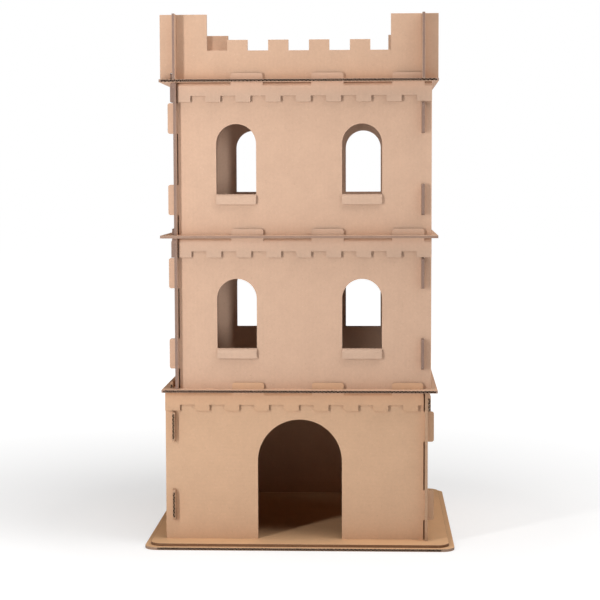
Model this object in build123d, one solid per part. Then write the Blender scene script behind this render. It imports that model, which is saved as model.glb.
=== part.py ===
"""Cardboard castle: a knock-down tower of slotted, tabbed and folded sheets of corrugated board.

Millimetres, +Z up, the front faces -Y, the origin is the middle of the base's underside.

Three storeys of four walls each stand on square floor boards, with a crenellated parapet on the roof
board and two rounded boards as a base. Every wall is one sheet. Its top is folded over outwards and down
into a band with a toothed lower edge, and three tabs cut free of that fold stand up through the board
above. Two side tabs pass through the neighbouring wall, whose free end runs on past them, so the four
walls of a storey lock like a pinwheel. The parapet's four panels cross at the corners in halving joints.
"""
import os
from collections import namedtuple

from build123d import *

# Corrugated board
sheet = 5.0             # thickness of every sheet
fold_slack = 0.3        # air between a folded flap and the wall that it lies on
fold_depth = 9.0        # how far down the two layers are bent together at a fold
fold_outer = 8.0        # rounding of a fold towards the outside
fold_inner = 2.0        # and towards the inside
fit = 0.4               # clearance on each side of a tab in its slot
butt_gap = 2.4          # between a wall's end and the neighbour that it butts against

# Storeys: size over the walls' outer faces, and the height between two boards
box_size = 451.0        # the two upper storeys and the parapet are square
ground_step = 7.0       # how far the ground storey's side walls stand outside the upper ones
ground_height = 272.0
upper_height = 274.5
wall_overhang = 13.0    # how far a wall's free end runs past its neighbour's outer face

# Band along the top of each wall
band_height = 35.0
tooth_width = 27.1      # teeth and the gaps between them, counted from the free end
tooth_depth = 11.0

# Tabs that stand up through the board above
up_tab_width = 58.0
up_tab_pitch = 145.0
up_tab_count = 3
up_tab_rise = 11.7      # above the board
up_tab_corner = 5.0
up_tab_edge = 1.0       # the least board between a tab and the end of its wall

# Tabs that pass through the neighbouring wall
side_tab_height = 55.0
side_tab_reach = 11.5   # past the neighbour's outer face
side_tab_corner = 4.0
side_tab_drop = 1.0     # from the band's lower edge to the upper slot

# Windows and door
window_width = 72.0
window_height = 126.0
window_spacing = 227.0  # between the middles of a wall's two windows
sill_height = 18.5
sill_corner = 2.0
door_width = 153.5
door_height = 220.5

# Floor boards
board_overhang = 24.5   # past the upper storeys' walls
board_corner = 3.0
hatch_size = 180.0
hatch_corner = 12.0
hatch_margin = 36.0     # from the inside of the walls

# Base boards
base_margin = 38.5      # from the ground storey's walls to the upper base board's edge
base_step = 9.5         # from the upper base board's edge to the lower one's
base_corner = 24.0

# Parapet
parapet_wall = 52.0     # height to the bottom of the crenels
merlon_height = 71.0
corner_height = 116.2
corner_width = 85.0
merlon_count = 4

layer_pitch = sheet + fold_slack
double_sheet = sheet + layer_pitch
ground_width = box_size + 2 * ground_step
board_size = box_size + 2 * board_overhang
up_tab_top = sheet + up_tab_rise

# hand is +1 where the walls' free ends are on the right, seen from outside, and -1 on the left
Storey = namedtuple("Storey", "name width depth height hand")
storeys = (
    Storey("ground", ground_width, box_size, ground_height, -1),
    Storey("middle", box_size, box_size, upper_height, 1),
    Storey("top", box_size, box_size, upper_height, 1),
)
turns = {"front": 0, "right": 90, "back": 180, "left": 270}


def rectangle(left, right, low, high, corner=0):
    """A flat rectangle between two places along and two places up, with rounded corners if asked."""
    size = (right - left, high - low)
    shape = RectangleRounded(*size, corner) if corner else Rectangle(*size)
    return Pos((left + right) / 2, (low + high) / 2) * shape


def arch(middle, width, low, height):
    """An opening with upright sides and a half-round head."""
    radius = width / 2
    sides = rectangle(middle - radius, middle + radius, low, low + height - radius)
    return sides + Pos(middle, low + height - radius) * Circle(radius)


def thicken(outline, layer=0):
    """Give a flat outline one sheet's thickness: layer 0 is the wall, layer 1 lies on its outside."""
    return extrude(Plane.XZ.offset(layer * layer_pitch) * outline, sheet)


def fold(left, right, top):
    """The bend along a top edge, where the wall turns over into the layer on its outside."""
    section = Pos(-double_sheet / 2, top - fold_depth / 2) * Rectangle(double_sheet, fold_depth)
    outer, inner = section.vertices().group_by(Axis.Y)[-1].sort_by(Axis.X)
    section = fillet(outer, fold_outer)
    section = fillet(section.vertices().sort_by_distance(inner)[0], fold_inner)
    return extrude(Plane.YZ.offset(left) * section, right - left)


def span(hand, start, end):
    """Two places along a wall, mirrored with its hand and put in order."""
    return sorted((hand * start, hand * end))


def across_and_along(storey, side):
    """The storey's size across from this wall to the opposite one, and along it."""
    if side in ("front", "back"):
        return storey.depth, storey.width
    return storey.width, storey.depth


def wall_ends(storey, side):
    """The wall's shoulder, which butts against its neighbour, and its free end, as a right-hand wall."""
    along = across_and_along(storey, side)[1]
    return -(along / 2 - sheet - butt_gap), along / 2 + wall_overhang


def up_tabs(storey, side):
    """Where the standing tabs are along the wall. The last one reaches the upper box's corner."""
    right_end = span(storey.hand, *wall_ends(storey, side))[1] - up_tab_edge
    tabs = []
    for number in range(up_tab_count):
        corner = box_size / 2 - number * up_tab_pitch
        tabs.append((corner - up_tab_width, min(corner, right_end)))
    return tabs[::-1]


def side_tab_levels(height):
    """The lowest and highest points of the two side tabs."""
    inset = band_height + side_tab_drop + fit
    return (inset, inset + side_tab_height), (height - inset - side_tab_height, height - inset)


def window_middles():
    return -window_spacing / 2, window_spacing / 2


def window_sill_level(height):
    return (height - window_height) / 2


def panel_outline(storey, side, windows, door):
    """The wall below its fold, with its side tabs, slots and openings, and the holes its standing tabs leave.

    A window reaches down to the foot of its sill's fold here, and the fold fills it up to the sill.
    """
    hand, height = storey.hand, storey.height
    along = across_and_along(storey, side)[1]
    shoulder, free_end = wall_ends(storey, side)
    outline = rectangle(*span(hand, shoulder, free_end), 0, height - fold_depth)
    for low, high in side_tab_levels(height):
        tip = -(along / 2 + side_tab_reach)
        outline += rectangle(*span(hand, tip, shoulder + 2 * side_tab_corner), low, high, side_tab_corner)
        slot = span(hand, along / 2 - sheet - fit, along / 2 + fit)
        outline -= rectangle(*slot, low - fit, high + fit)
    for left, right in up_tabs(storey, side):
        outline -= rectangle(left, right, height - sheet - up_tab_top, height)
    if windows:
        fold_foot = window_sill_level(height) - fold_depth
        for middle in window_middles():
            outline -= arch(middle, window_width, fold_foot, window_height + fold_depth)
    if door:
        outline -= arch(0, door_width, 0, door_height)
    return outline


def flap_outline(storey, side, windows):
    """What lies on the wall's outside: the toothed band with its standing tabs, and the window sills."""
    hand, height = storey.hand, storey.height
    shoulder, free_end = wall_ends(storey, side)
    band_foot = height - band_height
    outline = rectangle(*span(hand, shoulder, free_end), band_foot, height - fold_depth)
    gap_end = free_end - tooth_width
    while gap_end > shoulder:
        gap_start = max(gap_end - tooth_width, shoulder)
        outline -= rectangle(*span(hand, gap_start, gap_end), band_foot, band_foot + tooth_depth)
        gap_end -= 2 * tooth_width
    for left, right in up_tabs(storey, side):
        root = height - fold_depth - 2 * up_tab_corner
        outline += rectangle(left, right, root, height + up_tab_top, up_tab_corner)
    if windows:
        sill_level = window_sill_level(height)
        for middle in window_middles():
            ends = (middle - window_width / 2, middle + window_width / 2)
            foot = sill_level - sill_height
            outline += rectangle(*ends, foot, foot + 3 * sill_corner, sill_corner)
            outline += rectangle(*ends, foot + sill_corner, sill_level - fold_depth)
    return outline


def band_folds(storey, side):
    """The fold along the wall's top, in runs between the standing tabs."""
    left, right = span(storey.hand, *wall_ends(storey, side))
    stops = [left] + [place for tab in up_tabs(storey, side) for place in tab] + [right]
    return [fold(start, end, storey.height) for start, end in zip(stops[::2], stops[1::2])]


def make_wall(storey, side, windows=False, door=False):
    """One folded wall, made as a front wall with its inner face on Y = 0 and its foot on Z = 0."""
    wall = thicken(panel_outline(storey, side, windows, door))
    wall += thicken(flap_outline(storey, side, windows), layer=1)
    wall += band_folds(storey, side)
    if windows:
        sill_level = window_sill_level(storey.height)
        for middle in window_middles():
            wall += fold(middle - window_width / 2, middle + window_width / 2, sill_level)
    return wall


def stand(piece, side, across, floor):
    """Put a piece made as a front wall onto its own side of the tower."""
    return Rot(0, 0, turns[side]) * Pos(0, sheet - across / 2, floor) * piece


def make_floor_board(storey, hatch_side):
    """The board over a storey, with a slot for each standing tab and a hatch in one back corner."""
    board = RectangleRounded(board_size, board_size, board_corner)
    for side, turn in turns.items():
        across = across_and_along(storey, side)[0]
        inner = -(across / 2 + fold_slack)
        for left, right in up_tabs(storey, side):
            slot = rectangle(left - fit, right + fit, inner - sheet - fit, inner + fit)
            board -= Rot(0, 0, turn) * slot
    reach = box_size / 2 - sheet - hatch_margin - hatch_size / 2
    board -= Pos(hatch_side * reach, reach) * RectangleRounded(hatch_size, hatch_size, hatch_corner)
    return extrude(board, sheet)


def make_base_board(size):
    return extrude(RectangleRounded(size, size, base_corner), sheet)


def make_parapet(open_top):
    """A crenellated panel with halving slots where it crosses its neighbours.

    Its left end, seen from outside, is notched to clear the last standing tab of the wall round the
    corner.
    """
    half = board_size / 2
    outline = rectangle(-half, half, 0, parapet_wall)
    outline += rectangle(-half, corner_width - half, 0, corner_height)
    outline += rectangle(half - corner_width, half, 0, corner_height)
    step = (board_size - 2 * corner_width) / (2 * merlon_count + 1)
    for number in range(merlon_count):
        left = corner_width - half + (2 * number + 1) * step
        outline += rectangle(left, left + step, 0, merlon_height)
    lap = (corner_height / 2, corner_height) if open_top else (0, corner_height / 2)
    for place in (-1, 1):
        outline -= rectangle(*span(place, box_size / 2 - sheet - fit, box_size / 2 + fit), *lap)
    tab_face = -(box_size / 2 + fold_slack)
    outline -= rectangle(tab_face - sheet - fit, tab_face + fit, 0, up_tab_rise + fit)
    return thicken(outline)


pieces = {}

base_size = ground_width + 2 * base_margin
pieces["base_lower_board"] = make_base_board(base_size + 2 * base_step)
pieces["base_upper_board"] = Pos(0, 0, sheet) * make_base_board(base_size)

floor = 2 * sheet
board_names = ("first_floor_board", "second_floor_board", "roof_board")
for storey, board_name, hatch_side in zip(storeys, board_names, (1, -1, 1)):
    upper = storey.name != "ground"
    for side in turns:
        wall = make_wall(storey, side, windows=upper, door=not upper and side == "front")
        across = across_and_along(storey, side)[0]
        pieces[f"{storey.name}_{side}_wall"] = stand(wall, side, across, floor)
    floor += storey.height
    pieces[board_name] = Pos(0, 0, floor) * make_floor_board(storey, hatch_side)
    floor += sheet

for side in turns:
    panel = make_parapet(open_top=side in ("front", "back"))
    pieces[f"{side}_parapet"] = stand(panel, side, box_size, floor)

os.makedirs("parts", exist_ok=True)
for name, piece in pieces.items():
    export_step(piece, f"parts/{name}.step")
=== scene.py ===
"""Cardboard castle: the look of each sheet of corrugated board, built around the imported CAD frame.

Metres, +Z up, the front faces -Y. Every sheet gets its real make-up: two liners with a wavy medium glued
between them, so the flutes show wherever the board is cut.
"""
import math

import bmesh
import bpy
from mathutils import Matrix, Vector


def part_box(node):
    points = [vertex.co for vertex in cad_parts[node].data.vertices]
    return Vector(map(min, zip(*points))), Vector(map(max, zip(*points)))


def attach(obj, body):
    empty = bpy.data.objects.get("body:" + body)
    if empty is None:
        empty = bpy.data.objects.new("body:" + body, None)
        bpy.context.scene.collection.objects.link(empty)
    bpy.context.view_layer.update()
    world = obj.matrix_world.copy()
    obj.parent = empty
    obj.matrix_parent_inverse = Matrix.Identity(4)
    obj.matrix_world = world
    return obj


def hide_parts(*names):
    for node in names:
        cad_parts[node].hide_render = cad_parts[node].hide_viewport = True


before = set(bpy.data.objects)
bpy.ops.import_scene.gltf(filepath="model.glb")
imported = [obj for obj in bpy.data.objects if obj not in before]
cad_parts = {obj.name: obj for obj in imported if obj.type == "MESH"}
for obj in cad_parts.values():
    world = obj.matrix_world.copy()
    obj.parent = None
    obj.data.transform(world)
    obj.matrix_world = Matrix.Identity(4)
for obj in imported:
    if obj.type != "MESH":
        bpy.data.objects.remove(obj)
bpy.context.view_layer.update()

MM = 0.001
ALONG_X = Vector((1, 0, 0))
ALONG_Y = Vector((0, 1, 0))
ALONG_Z = Vector((0, 0, 1))

# Make-up of the board
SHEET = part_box("base_lower_board")[1].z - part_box("base_lower_board")[0].z
LINER = 0.6 * MM
MEDIUM = 0.6 * MM
FLUTE_PITCH = 7.0 * MM
CRUSH = 11.0 * MM           # how far below a fold the flutes are pressed shut
PRESSED = 0.7 * MM          # and how far from a cut that runs along them
RUBBED = 0.3 * MM           # rounding of the liners along every cut

# A flute's hollow, between the medium and a liner
HOLLOW_WIDTH = 0.86         # as a share of the flute's pitch
HOLLOW_STEPS = 8            # straight pieces in its curve
HOLLOW_TIP = 0.05 * MM      # its height where it ends
OVERSHOOT = 1.0 * MM        # how far it runs out past a cut across the flutes
TAB_OVERSHOOT = 0.3 * MM    # and past the sides of a tab

# Places on a wall that don't show in a node's box
FOLD_DEPTH = 9.0 * MM       # the stretch below a fold's top where its liner bends
BAND_HEIGHT = 35.0 * MM
SILL_LEVEL = 74.25 * MM     # top of the window sills, from the wall's foot
SILL_HEIGHT = 18.5 * MM
TAB_RISE = 1.0 * MM         # a tab stands up at least this far past the wall's top
TAB_GAP = 60.0 * MM         # and this far from the next one

# How points, faces and edges are told apart
WELD = 0.001 * MM           # points this near are one point
FLAT_BEND = 0.5             # degrees, under which two faces are one flat face
RIM_BEND = 60               # degrees, over which a liner and a cut meet at a rim
SHARP_BEND = 32             # degrees, over which an edge stays sharp
FACING = 0.5                # least part of its normal along the way that a face looks
SQUARE_ON = 0.9999          # the same, for a face that is square to an axis
SIDEWAYS = 0.1              # most part of its normal along the wall, for a fold's liner
FOLD_SLACK = 0.1 * MM
FLAP_SLACK = 0.5 * MM

TURNS = {"front": 0, "right": 90, "back": 180, "left": 270}

# Each storey, with the board that lies on its walls
STOREYS = {
    "ground": "first_floor_board",
    "middle": "second_floor_board",
    "top": "roof_board",
}

# Material slots of every sheet
FACE, CUT, FLUTE, EDGE, INNER = range(5)
RIB_SHADE = 0.01            # how much the ribs over the flutes change a liner's colour
RIB_HEIGHT = 0.8            # their height, beside the paper's own

# The studio. A light's row holds its name, its place, its width and height, and its power in watts
LIGHTS = (
    ("key", (-0.8, -1.25, 0.74), (0.12, 1.0), 11.2),
    ("right fill", (1.4, -0.7, 1.9), (1.2, 1.2), 14),
    ("overhead", (0.3, -0.45, 3.0), (2.0, 2.0), 65),
)
LIGHTS_AIM = (0, -0.2, 0.55)
FLOOR_REACH = 30            # from the middle to each side
FLOOR_DROP = 0.3 * MM       # keeps the floor clear of the base's underside
FLOOR_GLOW = 0.5            # under the castle. Far from it, the floor is as white as the backdrop
GLOW_START, GLOW_END = 0.5, 2.0
CAMERA_PLACE = (0.12974, -3.18491, 0.67178)
CAMERA_ANGLES = (2.489, -4.302, -0.161)     # degrees turned left, tilted up and rolled
CAMERA_LENS = 98.342        # focal length in millimetres
SENSOR_WIDTH = 36


# ---------------------------------------------------------------- materials

def srgb(red, green, blue):
    """A colour given as display values from 0 to 255, made linear."""
    def linear(value):
        value /= 255
        return value / 12.92 if value <= 0.04045 else ((value + 0.055) / 1.055) ** 2.4
    return (linear(red), linear(green), linear(blue), 1)


class Nodes:
    """Short ways to add and join nodes in one tree."""

    # A Mix node's colour sockets share their names with others, so they go by number
    MIX_FACTOR, MIX_FIRST, MIX_SECOND, MIX_RESULT = 0, 6, 7, 2

    def __init__(self, tree):
        self.tree = tree

    def add(self, kind, settings=None, **inputs):
        """A new node with its settings and inputs. An input's name has _ where the socket's has a space."""
        node = self.tree.nodes.new(kind)
        for name, value in (settings or {}).items():
            setattr(node, name, value)
        for name, value in inputs.items():
            self.feed(node, name.replace("_", " "), value)
        return node

    def feed(self, node, key, value):
        """Join another node's output to an input, or set the input to a plain value."""
        if isinstance(value, bpy.types.NodeSocket):
            self.tree.links.new(value, node.inputs[key])
        else:
            node.inputs[key].default_value = value

    def math(self, operation, first, second=0.0, third=0.0):
        """The result of a sum on up to three values."""
        node = self.add("ShaderNodeMath", {"operation": operation})
        for index, value in enumerate((first, second, third)):
            self.feed(node, index, value)
        return node.outputs[0]

    def remap(self, value, low, high, to_low, to_high):
        """A value's range from low to high, laid over the range from to_low to to_high."""
        node = self.add("ShaderNodeMapRange", {"clamp": True}, Value=value, From_Min=low, From_Max=high,
                        To_Min=to_low, To_Max=to_high)
        return node.outputs["Result"]

    def mix(self, factor, first, second, blend="MIX"):
        """Two colours blended, from all of the first at 0 to all of the second at 1."""
        node = self.add("ShaderNodeMix", {"data_type": "RGBA", "blend_type": blend})
        self.feed(node, self.MIX_FACTOR, factor)
        self.feed(node, self.MIX_FIRST, first)
        self.feed(node, self.MIX_SECOND, second)
        return node.outputs[self.MIX_RESULT]

    def shade(self, colour, amount):
        """A colour made darker or lighter. An amount of 1 leaves it as it is."""
        grey = self.add("ShaderNodeCombineColor", Red=amount, Green=amount, Blue=amount)
        return self.mix(1.0, colour, grey.outputs[0], "MULTIPLY")


def new_group(name, inputs, outputs):
    """A shader node group with named sockets, given with its nodes, its inlet's sockets and its outlet."""
    group = bpy.data.node_groups.new(name, "ShaderNodeTree")
    for socket, kind, value in inputs:
        item = group.interface.new_socket(socket, in_out="INPUT", socket_type=kind)
        if value is not None:
            item.default_value = value
    for socket, kind in outputs:
        group.interface.new_socket(socket, in_out="OUTPUT", socket_type=kind)
    nodes = Nodes(group)
    inlet = nodes.add("NodeGroupInput")
    outlet = nodes.add("NodeGroupOutput")
    return group, nodes, inlet.outputs, outlet


def make_paper_group():
    """Kraft paper: cloudy fibre formation, fine fibres, dark and pale flecks, and a fibrous height."""
    group, nodes, given, outlet = new_group(
        "kraft paper",
        [("Place", "NodeSocketVector", None), ("Tone", "NodeSocketColor", (0.5, 0.3, 0.2, 1)),
         ("Cloud", "NodeSocketFloat", 0.05), ("Fibre", "NodeSocketFloat", 0.06),
         ("Flecks", "NodeSocketFloat", 0.5)],
        [("Color", "NodeSocketColor"), ("Roughness", "NodeSocketFloat"), ("Height", "NodeSocketFloat")],
    )

    def pattern(scale, detail, roughness, distortion=0.0):
        """A cloudy pattern of values about 0.5, with so many clouds to a metre as the scale says."""
        noise = nodes.add("ShaderNodeTexNoise", Vector=given["Place"], Scale=scale, Detail=detail,
                          Roughness=roughness, Distortion=distortion)
        return noise.outputs["Fac"]

    def swing(value, strength):
        """A pattern's ups and downs about its middle, made as strong as wanted."""
        return nodes.math("MULTIPLY", nodes.math("SUBTRACT", value, 0.5), strength)

    cloud = pattern(scale=28.0, detail=4.0, roughness=0.6)
    mottle = pattern(scale=190.0, detail=3.0, roughness=0.6)
    fleck = pattern(scale=420.0, detail=2.0, roughness=0.5)
    fibre = pattern(scale=950.0, detail=4.0, roughness=0.7, distortion=1.2)

    contrast = 3.0
    cloudy = nodes.math("ADD", swing(cloud, given["Cloud"]), swing(mottle, given["Cloud"]))
    uneven = nodes.math("ADD", cloudy, swing(fibre, given["Fibre"]))
    colour = nodes.shade(given["Tone"], nodes.math("MULTIPLY_ADD", uneven, contrast, 1.0))
    dark = nodes.remap(fleck, low=0.66, high=0.74, to_low=0.0, to_high=0.35)
    pale = nodes.remap(fleck, low=0.34, high=0.27, to_low=0.0, to_high=0.3)
    colour = nodes.mix(nodes.math("MULTIPLY", dark, given["Flecks"]), colour, srgb(120, 84, 56))
    colour = nodes.mix(nodes.math("MULTIPLY", pale, given["Flecks"]), colour, srgb(236, 212, 186))
    height = nodes.math("MULTIPLY_ADD", fibre, 0.6, nodes.math("MULTIPLY", mottle, 0.4))
    nodes.feed(outlet, "Color", colour)
    nodes.feed(outlet, "Roughness", nodes.remap(mottle, low=0.3, high=0.7, to_low=0.6, to_high=0.72))
    nodes.feed(outlet, "Height", height)
    return group


def make_rib_group():
    """The faint ribs that the flutes print through a liner, from the attribute that counts them."""
    group, nodes, given, outlet = new_group(
        "flute ribs", [("Count", "NodeSocketFloat", 0.0)], [("Rib", "NodeSocketFloat")])
    turn = nodes.math("MULTIPLY", given["Count"], 2 * math.pi)
    nodes.feed(outlet, "Rib", nodes.math("MULTIPLY_ADD", nodes.math("COSINE", turn), 0.5, 0.5))
    return group


def new_material(name):
    """A material, with its nodes and its shader."""
    material = bpy.data.materials.new(name)
    material.use_nodes = True
    material.node_tree.nodes.clear()
    nodes = Nodes(material.node_tree)
    shader = nodes.add("ShaderNodeBsdfPrincipled")
    nodes.add("ShaderNodeOutputMaterial", Surface=shader.outputs[0])
    return material, nodes, shader


def paper_material(name, tone, cloud=0.05, fibre=0.06, flecks=0.5, ribs=0.0, relief=0.05):
    """A kraft surface. Ribs is how strongly the flutes show through it, and relief is its depth in mm."""
    material, nodes, shader = new_material(name)
    place = nodes.add("ShaderNodeTexCoord").outputs["Object"]
    paper = nodes.add("ShaderNodeGroup", {"node_tree": PAPER}, Place=place, Tone=tone, Cloud=cloud,
                      Fibre=fibre, Flecks=flecks)
    colour, height = paper.outputs["Color"], paper.outputs["Height"]
    if ribs:
        count = nodes.add("ShaderNodeAttribute", {"attribute_name": "flute"}).outputs["Fac"]
        rib = nodes.add("ShaderNodeGroup", {"node_tree": RIBS}, Count=count).outputs["Rib"]
        colour = nodes.shade(colour, nodes.math("MULTIPLY_ADD", rib, ribs, 1.0 - ribs / 2))
        height = nodes.math("MULTIPLY_ADD", rib, RIB_HEIGHT, height)
    bump = nodes.add("ShaderNodeBump", Strength=0.35, Distance=relief * MM, Height=height)
    nodes.feed(shader, "Base Color", colour)
    nodes.feed(shader, "Roughness", paper.outputs["Roughness"])
    nodes.feed(shader, "Normal", bump.outputs[0])
    nodes.feed(shader, "Specular IOR Level", 0.4)
    return material


# ---------------------------------------------------------------- corrugated board

def place_object(name, data):
    """Put a mesh, a light or a camera in the scene, at the origin."""
    item = bpy.data.objects.new(name, data)
    bpy.context.scene.collection.objects.link(item)
    return item


def write_mesh(bm, name):
    """Write a bmesh to a new mesh, and free it."""
    mesh = bpy.data.meshes.new(name)
    bm.to_mesh(mesh)
    bm.free()
    return mesh


def merged_copy(node, turn):
    """The node's own shape as one closed skin of flat faces, turned to face the front."""
    bm = bmesh.new()
    bm.from_mesh(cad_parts[node].data)
    bmesh.ops.remove_doubles(bm, verts=bm.verts, dist=WELD)
    bmesh.ops.dissolve_limit(bm, angle_limit=math.radians(FLAT_BEND), verts=bm.verts, edges=bm.edges)
    bmesh.ops.rotate(bm, matrix=Matrix.Rotation(-turn, 3, "Z"), verts=bm.verts)
    return bm


def box_corners(bm):
    """The lowest and the highest corner of the box around a shape."""
    places = [[vert.co[axis] for vert in bm.verts] for axis in range(3)]
    return Vector([min(row) for row in places]), Vector([max(row) for row in places])


def tell_faces(bm, through, folds=(), flap=None):
    """Liners face along the sheet's thickness, or lie on a fold. All other faces are cuts.

    The liner on a wall's inside runs on over its folds and shows again on the flaps, out to the place flap.
    """
    for face in bm.faces:
        middle = face.calc_center_median()
        flat = abs(face.normal.dot(through)) > FACING
        at_fold = any(low < middle.z < high + FOLD_SLACK for low, high in folds)
        folded = at_fold and abs(face.normal.x) < SIDEWAYS
        face.material_index = FACE if flat or folded else CUT
        if flap is None:
            continue
        inner_side = face.normal.y > FACING or middle.y < flap + FLAP_SLACK
        if folded or (flat and inner_side):
            face.material_index = INNER


def rub_edges(bm):
    """Round the liners a little along every cut."""
    rims = []
    for edge in bm.edges:
        kinds = {face.material_index for face in edge.link_faces}
        if kinds in ({FACE, CUT}, {INNER, CUT}) and edge.calc_face_angle() > math.radians(RIM_BEND):
            rims.append(edge)
    rounded = bmesh.ops.bevel(bm, geom=rims, offset=RUBBED, offset_type="OFFSET", affect="EDGES",
                              segments=2, profile=0.5, material=-1, clamp_overlap=True)
    for face in rounded["faces"]:
        face.material_index = EDGE


def flute_section(bm, place, upper):
    """One flute's hollow, between the medium and a liner, drawn across the flute at a place along it.

    Its own frame: X across the flutes, Y through the sheet, with the middle of the sheet at 0.
    """
    inside = SHEET / 2 - LINER
    swing = inside - MEDIUM / 2
    reach = HOLLOW_WIDTH * FLUTE_PITCH / 2
    points = []
    for step in range(HOLLOW_STEPS + 1):
        across = reach * (2 * step / HOLLOW_STEPS - 1)
        turn = 2 * math.pi * across / FLUTE_PITCH
        slope = swing * 2 * math.pi / FLUTE_PITCH * math.sin(turn)
        depth = -swing * math.cos(turn) + MEDIUM / 2 * math.hypot(1, slope)
        points.append((across, min(depth, inside - HOLLOW_TIP)))
    points += [(reach, inside), (-reach, inside)]
    sign = 1 if upper else -1
    return bm.faces.new([bm.verts.new((place + x, sign * y, 0)) for x, y in points])


def flute_places(low, high):
    """Where the flutes lie between two places, counted from the sheet's middle."""
    first = math.ceil(low / FLUTE_PITCH)
    last = math.floor(high / FLUTE_PITCH)
    return [number * FLUTE_PITCH for number in range(first, last + 1)]


def flute_axes(across, along):
    """The turn that lays a flute's section, and its length, the right way in the sheet."""
    through = along.cross(across)
    return Matrix((across, through, along)).transposed().to_4x4()


def add_hollows(bm, runs, middle, axes):
    """The flutes' hollows: runs of (place across, start, end), in the layer whose middle is given."""
    fresh = bmesh.new()
    for across, start, end in runs:
        for upper in (True, False):
            face = flute_section(fresh, across + (0 if upper else FLUTE_PITCH / 2), upper)
            bmesh.ops.translate(fresh, vec=(0, 0, start), verts=face.verts)
            grown = bmesh.ops.extrude_face_region(fresh, geom=[face], use_keep_orig=True)
            ends = [item for item in grown["geom"] if isinstance(item, bmesh.types.BMVert)]
            bmesh.ops.translate(fresh, vec=(0, 0, end - start), verts=ends)
    bmesh.ops.transform(fresh, matrix=Matrix.Translation(middle) @ axes, verts=fresh.verts)
    mesh = write_mesh(fresh, "layer")
    bm.from_mesh(mesh)
    bpy.data.meshes.remove(mesh)


def combine(item, operation, other):
    """Join, cut or cross one closed shape with another."""
    step = item.modifiers.new(operation.lower(), "BOOLEAN")
    step.operation = operation
    step.solver = "MANIFOLD"
    step.object = other


def carve(piece, hollows, across):
    """Take the hollows out of the sheet, short of the cuts that run along them, which press them shut."""
    tool = place_object("hollows", hollows)
    shells = []
    for shift in (PRESSED, -PRESSED):
        shell = piece.data.copy()
        shell.transform(Matrix.Translation(across * shift))
        shells.append(place_object("shell", shell))
        combine(tool, "INTERSECT", shells[-1])
    combine(piece, "DIFFERENCE", tool)
    carved = bpy.data.meshes.new_from_object(piece.evaluated_get(bpy.context.evaluated_depsgraph_get()))
    piece.modifiers.clear()
    spent = [piece.data, hollows] + [shell.data for shell in shells]
    piece.data = carved
    for item in [tool] + shells:
        bpy.data.objects.remove(item)
    for mesh in spent:
        bpy.data.meshes.remove(mesh)
    carved.name = piece.name


def count_flutes(mesh, across):
    """Write how many flutes in from the middle each point is, for the ribs that show through the liners."""
    count = mesh.attributes.new("flute", "FLOAT", "POINT")
    for point, vertex in zip(count.data, mesh.vertices):
        point.value = vertex.co.dot(across) / FLUTE_PITCH


def keep_flats_flat(mesh):
    """Shade liners and cuts flat, so that only the rounded edges blend into their neighbours."""
    normals = [corner.vector.copy() for corner in mesh.corner_normals]
    for face in mesh.polygons:
        if max(abs(value) for value in face.normal) > SQUARE_ON:
            for corner in face.loop_indices:
                normals[corner] = face.normal
    mesh.normals_split_custom_set(normals)


def finish_piece(node, bm, layers, axes, turn, finish):
    """Hollow the sheet's layers, turn it to its own side and hand it to the frame."""
    name = node + "_sheet"
    across = axes.col[0].to_3d()
    hollows = bmesh.new()
    for runs, middle in layers:
        add_hollows(hollows, runs, middle, axes)
    bmesh.ops.recalc_face_normals(hollows, faces=hollows.faces)
    for face in hollows.faces:
        face.material_index = FLUTE
    meshes = [write_mesh(bm, name), write_mesh(hollows, name)]
    for mesh in meshes:
        for material in finish:
            mesh.materials.append(material)
    piece = place_object(name, meshes[0])
    carve(piece, meshes[1], across)
    mesh = piece.data
    count_flutes(mesh, across)
    mesh.transform(Matrix.Rotation(turn, 4, "Z"))
    mesh.shade_smooth()
    mesh.set_sharp_from_angle(angle=math.radians(SHARP_BEND))
    keep_flats_flat(mesh)
    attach(piece, "root")
    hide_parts(node)


# ---------------------------------------------------------------- the kinds of sheet

def make_board(node, along, finish):
    """A flat board, with its flutes along X or Y."""
    low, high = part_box(node)
    bm = merged_copy(node, 0)
    tell_faces(bm, ALONG_Z)
    rub_edges(bm)
    across = ALONG_X if along == ALONG_Y else ALONG_Y
    start, end = low.dot(along) - OVERSHOOT, high.dot(along) + OVERSHOOT
    places = flute_places(low.dot(across) - FLUTE_PITCH, high.dot(across))
    runs = [(place, start, end) for place in places]
    middle = ALONG_Z * (low.z + high.z) / 2
    finish_piece(node, bm, [(runs, middle)], flute_axes(across, along), 0, finish)


def tab_spans(bm, top):
    """Where the sheet's tabs stand up past its top, along the wall."""
    xs = sorted(vert.co.x for vert in bm.verts if vert.co.z > top + TAB_RISE)
    gaps = [(left, right) for left, right in zip(xs, xs[1:]) if right - left > TAB_GAP]
    starts = [xs[0]] + [right for left, right in gaps]
    ends = [left for left, right in gaps] + [xs[-1]]
    return list(zip(starts, ends))


def upright_hollows(low, high, top, tabs):
    """The hollows of a wall with upright flutes: in its panel, and in its band, tabs and sills."""
    sill_top = low.z + SILL_LEVEL
    panel, flaps = [], []
    for place in flute_places(low.x - FLUTE_PITCH, high.x):
        in_tab = any(left + FLUTE_PITCH / 2 < place < right - FLUTE_PITCH / 2 for left, right in tabs)
        band_end = high.z + OVERSHOOT if in_tab else top - CRUSH
        panel.append((place, low.z - OVERSHOOT, top - CRUSH))
        flaps.append((place, top - BAND_HEIGHT - OVERSHOOT, band_end))
        flaps.append((place, sill_top - SILL_HEIGHT - OVERSHOOT, sill_top - CRUSH))
    return panel, flaps


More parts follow.
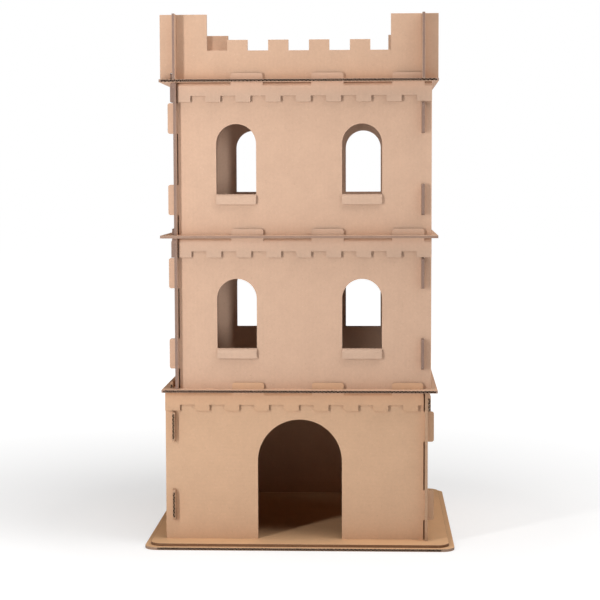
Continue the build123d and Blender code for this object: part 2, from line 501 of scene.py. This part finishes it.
def level_hollows(low, high, top, tabs):
    """The hollows of a wall with level flutes: in its panel, and in its band and tabs."""
    free_end = low.x + OVERSHOOT        # pressed shut, so the panel's hollows stop short of it
    end = high.x + OVERSHOOT
    panel = [(place, free_end, end) for place in flute_places(low.z - FLUTE_PITCH, top - CRUSH)]
    band_places = flute_places(top - BAND_HEIGHT - FLUTE_PITCH, top - CRUSH)
    flaps = [(place, low.x - OVERSHOOT, end) for place in band_places]
    for left, right in tabs:
        for place in flute_places(top - CRUSH + FLUTE_PITCH / 2, high.z):
            flaps.append((place, left - TAB_OVERSHOOT, right + TAB_OVERSHOOT))
    return panel, flaps


def make_wall(storey, side, finish):
    """A folded wall. The flutes run level in the ground storey and upright above it."""
    node = f"{storey}_{side}_wall"
    turn = math.radians(TURNS[side])
    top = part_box(STOREYS[storey])[0].z
    bm = merged_copy(node, turn)
    low, high = box_corners(bm)
    upright = storey != "ground"
    fold_tops = [top, low.z + SILL_LEVEL] if upright else [top]
    tell_faces(bm, ALONG_Y, [(fold_top - FOLD_DEPTH, fold_top) for fold_top in fold_tops], low.y)
    tabs = tab_spans(bm, top)
    rub_edges(bm)
    if upright:
        panel, flaps = upright_hollows(low, high, top, tabs)
        axes = flute_axes(ALONG_X, ALONG_Z)
    else:
        panel, flaps = level_hollows(low, high, top, tabs)
        axes = flute_axes(ALONG_Z, ALONG_X)
    layers = [(panel, ALONG_Y * (high.y - SHEET / 2)), (flaps, ALONG_Y * (low.y + SHEET / 2))]
    finish_piece(node, bm, layers, axes, turn, finish)


def make_parapet(side, finish):
    """A crenellated panel, with its flutes upright."""
    node = f"{side}_parapet"
    turn = math.radians(TURNS[side])
    bm = merged_copy(node, turn)
    low, high = box_corners(bm)
    tell_faces(bm, ALONG_Y)
    rub_edges(bm)
    places = flute_places(low.x - FLUTE_PITCH, high.x)
    runs = [(place, low.z - OVERSHOOT, high.z + OVERSHOOT) for place in places]
    middle = ALONG_Y * ((low.y + high.y) / 2)
    finish_piece(node, bm, [(runs, middle)], flute_axes(ALONG_X, ALONG_Z), turn, finish)


# ---------------------------------------------------------------- the castle

PAPER = make_paper_group()
RIBS = make_rib_group()

# Lines the flutes' hollows: the medium's own darker brown, darkened further as painted shade deep in the
# hollows.
MEDIUM_AND_HOLLOW_SHADE = paper_material("fluted medium", srgb(154, 117, 86), cloud=0.06, fibre=0.10, flecks=0.4)


def board_finish(name, tone, cut, rim_tone, inner=None):
    """A sheet's surfaces, in the order of its slots: liner, cuts, medium, rims along the cuts and inner
    liner.
    """
    return (
        paper_material(name + " liner", tone, ribs=RIB_SHADE),
        paper_material(name + " cut", cut, cloud=0.10, fibre=0.16, flecks=0.8, relief=0.12),
        MEDIUM_AND_HOLLOW_SHADE,
        # the rims along the cuts: lighter than the liner on the walls and parapets, partly worn fibre,
        # partly a painted highlight
        paper_material(name + " edge rim", rim_tone, cloud=0.08, fibre=0.12),
        paper_material(name + " inner liner", inner or tone, ribs=RIB_SHADE),
    )


# On the walls and parapets the rims along the cuts are lighter than the liner: partly worn fibre, partly a
# painted highlight. On the boards they lie between the liner and the cut.
UPPER = board_finish("upper kraft", tone=srgb(198, 163, 138), cut=srgb(136, 110, 97),
                     rim_tone=srgb(208, 176, 152), inner=srgb(196, 164, 141))
PARAPET = board_finish("parapet kraft", tone=srgb(194, 159, 133), cut=srgb(136, 110, 97),
                       rim_tone=srgb(204, 172, 147))
# Warmer and more saturated than the upper kraft: partly the board's own tone, partly painted light for the
# dimmer, warmer light low on the castle.
GROUND = board_finish("ground kraft", tone=srgb(203, 165, 133), cut=srgb(176, 141, 113),
                      rim_tone=srgb(206, 172, 142), inner=srgb(203, 163, 130))
FLOORS = board_finish("floor kraft", tone=srgb(203, 166, 138), cut=srgb(150, 121, 104),
                      rim_tone=srgb(180, 150, 126))
# The base kraft, on both base boards: warmer still, partly painted light low on the castle, like the ground
# kraft.
BASE = board_finish("base kraft", tone=srgb(208, 165, 124), cut=srgb(150, 122, 102),
                    rim_tone=srgb(184, 152, 124))
BASE_TOP = board_finish("upper base kraft", tone=srgb(208, 165, 124), cut=srgb(124, 88, 60),
                        rim_tone=srgb(128, 94, 68))

for node, along, finish, slot in (
    ("base_lower_board", ALONG_Y, BASE, "base_board"),
    ("base_upper_board", ALONG_X, BASE_TOP, "base_board"),
    ("first_floor_board", ALONG_Y, FLOORS, "floor_board"),
    ("second_floor_board", ALONG_X, FLOORS, "floor_board"),
    ("roof_board", ALONG_Y, FLOORS, "floor_board"),
):
    make_board(node, along, finish)

for storey in STOREYS:
    for side in TURNS:
        make_wall(storey, side, GROUND if storey == "ground" else UPPER)

for side in TURNS:
    make_parapet(side, PARAPET)


# ---------------------------------------------------------------- floor, lights and camera

def make_floor():
    """A pale floor, which turns as white as the backdrop towards the horizon."""
    bm = bmesh.new()
    bmesh.ops.create_grid(bm, x_segments=1, y_segments=1, size=FLOOR_REACH)
    bmesh.ops.translate(bm, vec=(0, 0, -FLOOR_DROP), verts=bm.verts)
    floor = place_object("studio_floor", write_mesh(bm, "studio_floor"))
    material, nodes, shader = new_material("pale studio floor")
    place = nodes.add("ShaderNodeTexCoord").outputs["Object"]
    away = nodes.add("ShaderNodeVectorMath", {"operation": "LENGTH"}, Vector=place).outputs["Value"]
    nodes.feed(shader, "Base Color", (0.5, 0.5, 0.5, 1))
    nodes.feed(shader, "Roughness", 0.9)
    nodes.feed(shader, "Specular IOR Level", 0.1)
    nodes.feed(shader, "Emission Color", nodes.remap(away, GLOW_START, GLOW_END, FLOOR_GLOW, 1.0))
    nodes.feed(shader, "Emission Strength", 1.0)
    floor.data.materials.append(material)


def add_softbox(name, place, size, power):
    """A soft light that faces the castle."""
    data = bpy.data.lights.new(name, "AREA")
    data.shape = "RECTANGLE"
    data.size, data.size_y = size
    data.energy = power
    light = place_object(name, data)
    light.location = place
    light.rotation_euler = (Vector(place) - Vector(LIGHTS_AIM)).to_track_quat("Z", "Y").to_euler()


def make_backdrop():
    """A white backdrop, which the camera sees but which lights nothing."""
    world = bpy.data.worlds.new("studio")
    bpy.context.scene.world = world
    world.use_nodes = True
    world.node_tree.nodes.clear()
    nodes = Nodes(world.node_tree)
    unlit = nodes.add("ShaderNodeBackground", Color=(1, 1, 1, 1), Strength=0.0)
    white = nodes.add("ShaderNodeBackground", Color=(1, 1, 1, 1), Strength=1.0)
    seen = nodes.add("ShaderNodeLightPath").outputs["Is Camera Ray"]
    mixed = nodes.add("ShaderNodeMixShader")
    for index, value in enumerate((seen, unlit.outputs[0], white.outputs[0])):
        nodes.feed(mixed, index, value)
    nodes.add("ShaderNodeOutputWorld", Surface=mixed.outputs[0])


def make_camera():
    """The camera, turned about the vertical, then tilted, then rolled."""
    turn, tilt, lean = (math.radians(angle) for angle in CAMERA_ANGLES)
    ahead = Vector((-math.sin(turn) * math.cos(tilt), math.cos(turn) * math.cos(tilt), math.sin(tilt)))
    level = Vector((math.cos(turn), math.sin(turn), 0))
    above = level.cross(ahead)
    right = level * math.cos(lean) + above * math.sin(lean)
    up = above * math.cos(lean) - level * math.sin(lean)
    data = bpy.data.cameras.new("camera")
    data.sensor_width = SENSOR_WIDTH
    data.lens = CAMERA_LENS
    data.clip_end = 100
    camera = place_object("camera", data)
    facing = Matrix((right, up, -ahead)).transposed().to_4x4()
    camera.matrix_world = Matrix.Translation(CAMERA_PLACE) @ facing
    bpy.context.scene.camera = camera


make_floor()
for name, place, size, power in LIGHTS:
    add_softbox(name, place, size, power)
make_backdrop()
make_camera()
bpy.context.scene.view_settings.view_transform = "Standard"
